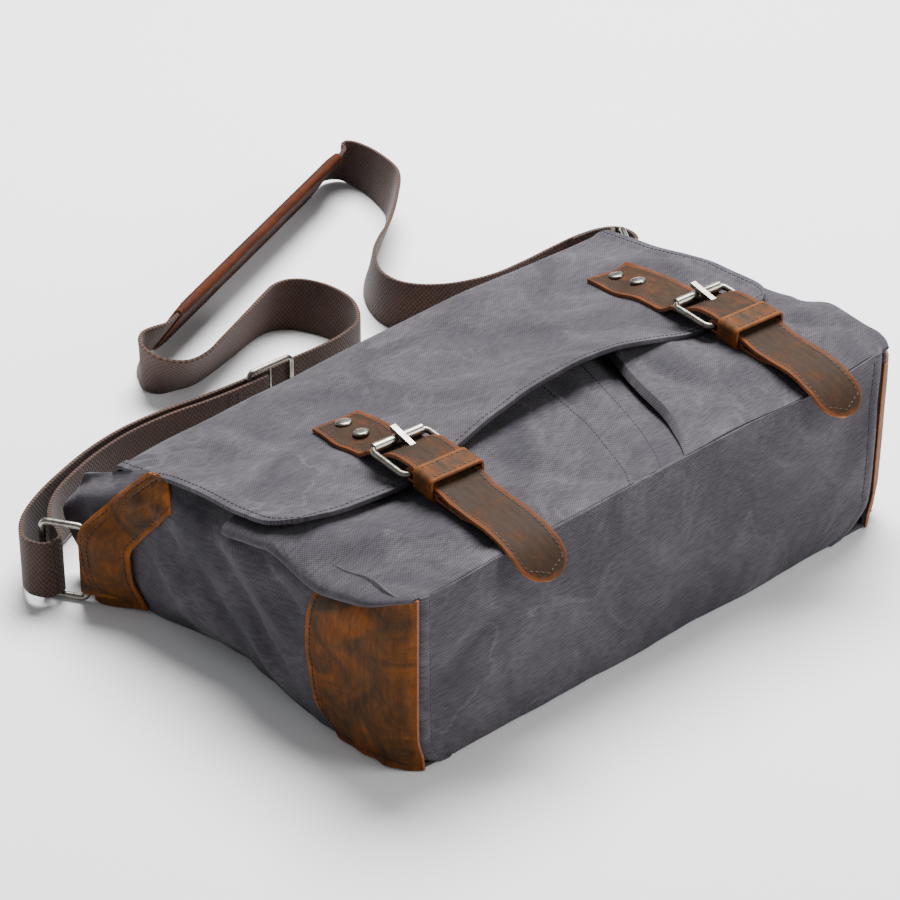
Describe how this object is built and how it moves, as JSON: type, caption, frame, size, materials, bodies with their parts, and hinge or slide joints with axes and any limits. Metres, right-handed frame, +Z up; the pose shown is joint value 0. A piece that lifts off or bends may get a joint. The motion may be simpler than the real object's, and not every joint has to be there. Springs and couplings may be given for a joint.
{
  "type": "messenger bag",
  "caption": "Canvas messenger bag lying on its back, with a folding flap, buckled leather straps, front pockets and a webbing shoulder strap on rings.",
  "frame": {"origin": "on the floor plane under the middle of the bag's box, the shoulder strap left out; the bag rests on its back panel", "axes": "+Z up through the flap, +Y from the base towards the mouth, +X along the bag's width towards the wearer's left, which is the right side of the flap as seen from the front"},
  "size_m": [0.4949, 0.5754, 0.1389],
  "materials": {
    "canvas": "waxed slate-grey cotton canvas, matte with rubbed lighter creases",
    "lining": "plain woven lining, matte",
    "board": "dark pressed board",
    "webbing": "heavy brown woven webbing",
    "leather": "oiled brown leather with darker middle and raw orange edges",
    "nickel": "antique nickel, satin with dark recesses"
  },
  "bodies": {
    "body": {"back_panel": "canvas", "base_panel": "canvas", "front_panel": "canvas", "gusset_left": "canvas", "gusset_right": "canvas", "pocket_left": "canvas", "pocket_right": "canvas", "pen_pocket": "canvas", "corner_leather_left": "leather", "corner_leather_right": "leather", "side_band_left": "leather", "side_band_right": "leather", "ring_tab_left": "leather", "ring_tab_right": "leather", "lining_back": "lining", "lining_base": "lining", "lining_front": "lining", "lining_left": "lining", "lining_right": "lining", "base_board": "board", "snap_sockets": "nickel", "shoulder_strap": "webbing", "strap_return": "webbing", "strap_adjuster": "nickel"},
    "flap_back": {"flap_back": "canvas"},
    "flap_front": {"flap_front": "canvas", "flap_lining": "lining", "billet_left": "leather", "billet_right": "leather", "rivets": "nickel", "buckle_tab_left": "leather", "buckle_tab_right": "leather", "keeper_left": "leather", "keeper_right": "leather", "buckle_frame_left": "nickel", "buckle_frame_right": "nickel", "snap_studs": "nickel"},
    "roller_left": {"roller_left": "nickel"},
    "tongue_left": {"tongue_left": "nickel"},
    "roller_right": {"roller_right": "nickel"},
    "tongue_right": {"tongue_right": "nickel"},
    "ring_left": {"ring_left": "nickel"},
    "ring_right": {"ring_right": "nickel"},
    "shoulder_pad": {"shoulder_pad": "leather"}
  },
  "joints": [
    {"name": "flap_hem", "type": "hinge", "parent": "body", "child": "flap_back", "pos_m": [0, 0.14555, 0.0044], "axis": [-1, 0, 0], "range_deg": [0, 52]},
    {"name": "flap_fold", "type": "hinge", "parent": "flap_back", "child": "flap_front", "pos_m": [0, 0.11955, 0.0883], "axis": [-0.9996, 0, -0.0279], "range_deg": [0, 105]},
    {"name": "tongue_left_lift", "type": "hinge", "parent": "flap_front", "child": "tongue_left", "pos_m": [-0.09802, -0.04545, 0.12328], "axis": [0.9958, -0.0872, 0.0278], "range_deg": [0, 15]},
    {"name": "roller_left_spin", "type": "hinge", "parent": "flap_front", "child": "roller_left", "pos_m": [-0.09514, -0.01258, 0.12336], "axis": [0.9958, -0.0872, 0.0278], "continuous": true},
    {"name": "tongue_right_lift", "type": "hinge", "parent": "flap_front", "child": "tongue_right", "pos_m": [0.13589, -0.05045, 0.12981], "axis": [0.9958, -0.0872, 0.0278], "range_deg": [0, 15]},
    {"name": "roller_right_spin", "type": "hinge", "parent": "flap_front", "child": "roller_right", "pos_m": [0.13877, -0.01758, 0.12989], "axis": [0.9958, -0.0872, 0.0278], "continuous": true},
    {"name": "ring_left_turn", "type": "hinge", "parent": "body", "child": "ring_left", "pos_m": [-0.2198, 0.11955, 0.028], "axis": [0, 0, 1], "range_deg": [-10, 10]},
    {"name": "ring_right_turn", "type": "hinge", "parent": "body", "child": "ring_right", "pos_m": [0.2198, 0.11955, 0.052], "axis": [0, 0, 1], "range_deg": [-10, 10]},
    {"name": "pad_slide", "type": "slide", "parent": "body", "child": "shoulder_pad", "axis": [-0.9089, -0.4169, 0], "range_m": [-0.01, 0.01]}
  ]
}
